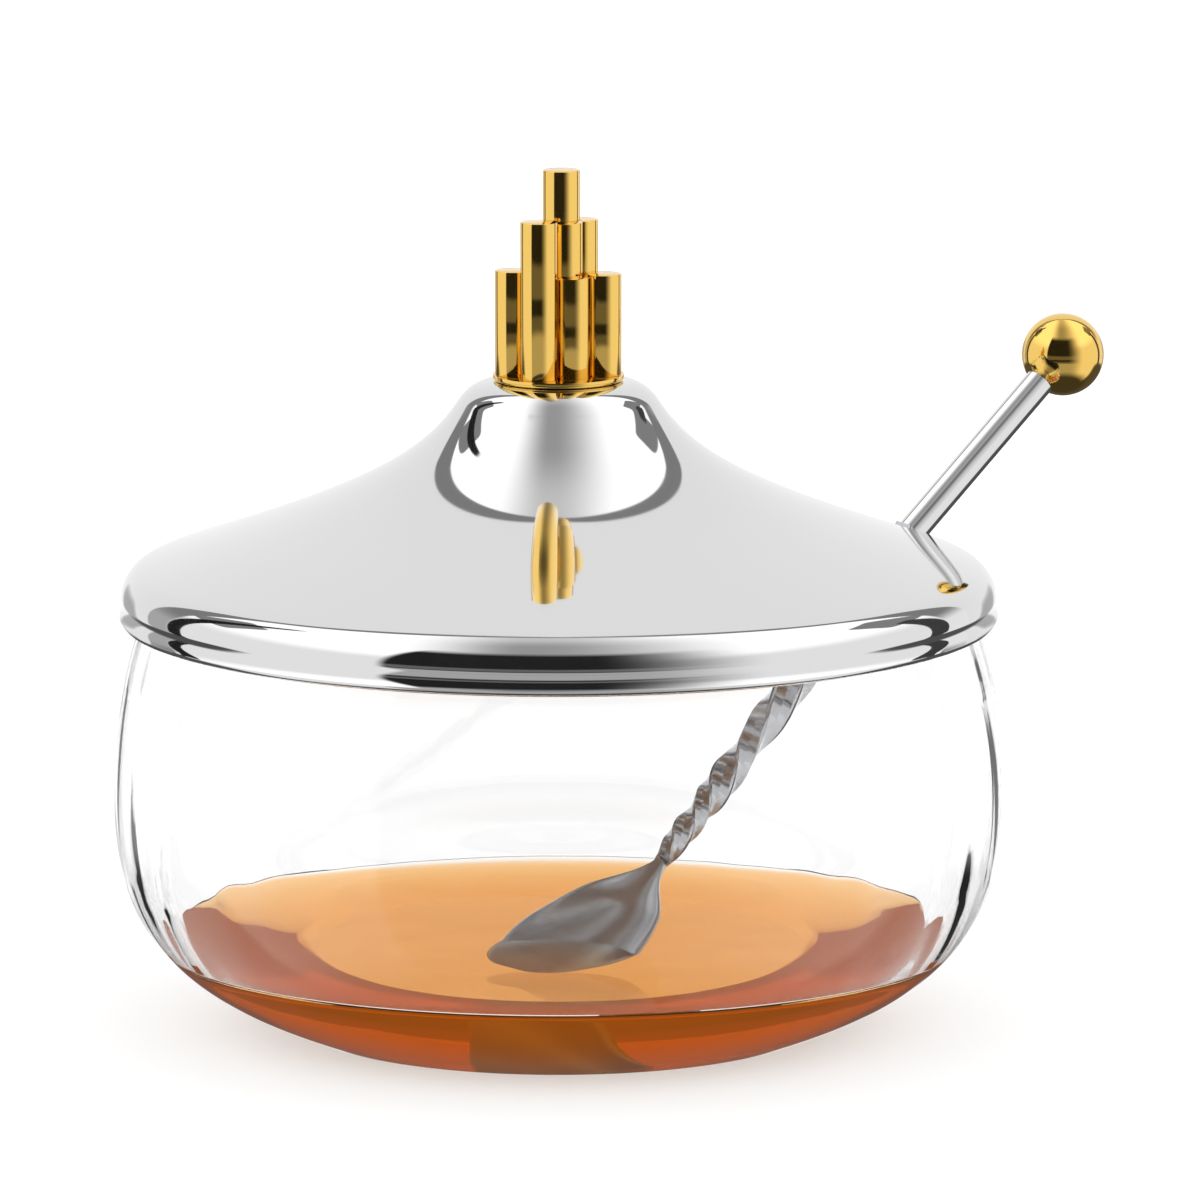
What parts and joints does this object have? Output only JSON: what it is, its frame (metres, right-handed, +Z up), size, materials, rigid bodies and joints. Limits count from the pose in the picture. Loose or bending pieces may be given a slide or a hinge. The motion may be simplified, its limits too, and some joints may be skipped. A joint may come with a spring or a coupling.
{
  "type": "honey pot with lid and spoon",
  "caption": "Round glass honey pot with a bell-shaped mirror-steel lid, a gilt finial of clustered rods, and a twisted ball-ended spoon leaning out through a notch.",
  "frame": {"origin": "centre of the flat base of the glass bowl, on the surface that it stands on", "axes": "+Z up along the bowl's and lid's common axis, -Y towards the viewer of the picture, +X to the right, where the spoon leans out"},
  "size_m": [0.1357, 0.1208, 0.1165],
  "materials": {
    "clear_glass": "clear, fire-polished, slightly rippled",
    "honey": "clear amber liquid",
    "lid_steel": "mirror polished",
    "gilt": "polished gilt",
    "plain_steel": "plain turned",
    "spoon_steel": "softly polished",
    "handle_steel": "mirror polished"
  },
  "bodies": {
    "root": {"glass_bowl": "clear_glass", "honey": "honey"},
    "lid": {"lid_shell": "lid_steel", "finial_disc": "gilt", "rod_centre": "gilt", "rod_mid_left": "gilt", "rod_mid_front": "gilt", "rod_mid_right": "gilt", "rod_low_left": "gilt", "rod_low_front": "gilt", "rod_low_right": "gilt", "rod_back_left": "gilt", "rod_back_right": "gilt", "finial_stud": "gilt", "finial_washer": "plain_steel", "finial_nut": "plain_steel"},
    "spoon": {"spoon_bowl": "spoon_steel", "spoon_shank": "spoon_steel", "spoon_handle": "handle_steel", "spoon_ball": "gilt"}
  },
  "joints": [
    {"name": "lid_lift", "type": "slide", "parent": "root", "child": "lid", "axis": [0, 0, 1], "range_m": [0, 0.06]},
    {"name": "spoon_draw", "type": "slide", "parent": "root", "child": "spoon", "axis": [0.5709, 0.459, 0.6807], "range_m": [0, 0.048]}
  ]
}
